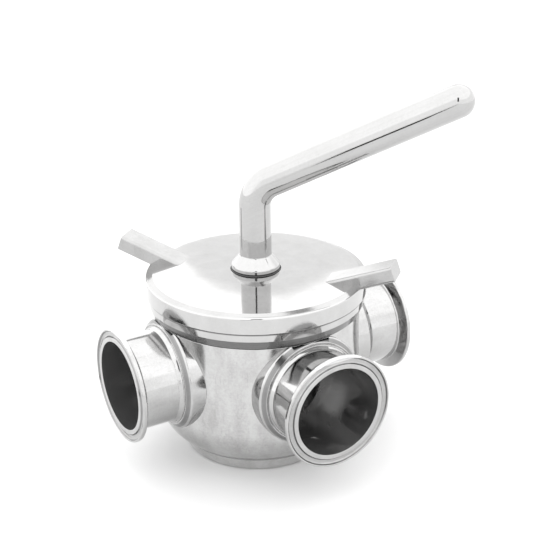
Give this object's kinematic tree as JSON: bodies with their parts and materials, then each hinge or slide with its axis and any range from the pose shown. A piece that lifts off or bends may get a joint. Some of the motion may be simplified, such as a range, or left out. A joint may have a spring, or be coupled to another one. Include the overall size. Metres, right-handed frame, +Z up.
{
  "type": "three way valve",
  "caption": "Three way plug valve with clamp ferrule ends, a bonnet nut with two lugs and a bent lever handle, in polished stainless steel.",
  "frame": {"origin": "centre of the base face, on the stem's axis", "axes": "+Z up along the stem, -Y out of the front port, -X out of the left port and +X out of the right port"},
  "size_m": [0.2187, 0.185, 0.2588],
  "materials": {
    "polished_steel": "mirror polished stainless steel",
    "turned_steel": "finely turned stainless steel",
    "black_rubber": "smooth",
    "white_ptfe": "matt"
  },
  "bodies": {
    "valve": {"body_shell": "polished_steel", "base_plate": "polished_steel", "left_boss": "polished_steel", "front_boss": "polished_steel", "right_boss": "polished_steel", "left_tube": "polished_steel", "front_tube": "polished_steel", "right_tube": "polished_steel", "left_ferrule": "polished_steel", "front_ferrule": "polished_steel", "right_ferrule": "polished_steel", "cover_plate": "turned_steel", "cover_gasket": "black_rubber", "foot_pad": "white_ptfe", "stem_ring_lower": "black_rubber", "stem_ring_upper": "black_rubber"},
    "rotor": {"plug": "turned_steel", "plug_ring_lower": "black_rubber", "plug_ring_upper": "black_rubber", "plug_washer": "white_ptfe", "stem": "turned_steel", "hub_collar": "polished_steel", "stem_wiper": "black_rubber", "handle_bar": "polished_steel"},
    "lift": {"slip_ring": "white_ptfe"},
    "nut": {"bonnet_nut": "polished_steel", "front_lug": "polished_steel", "rear_lug": "polished_steel"}
  },
  "joints": [
    {"name": "handle_turn", "type": "hinge", "parent": "valve", "child": "rotor", "pos_m": [0, 0, 0.0665], "axis": [0, 0, 1], "continuous": true},
    {"name": "nut_lift", "type": "slide", "parent": "valve", "child": "lift", "axis": [0, 0, 1], "range_m": [0, 0.0128]},
    {"name": "nut_turn", "type": "hinge", "parent": "lift", "child": "nut", "pos_m": [0, 0, 0.115], "axis": [0, 0, 1], "range_deg": [0, 1080]}
  ],
  "couplings": [
    {"joint": "nut_lift", "follows": "nut_turn", "m_per_rad": 0.00067376}
  ]
}
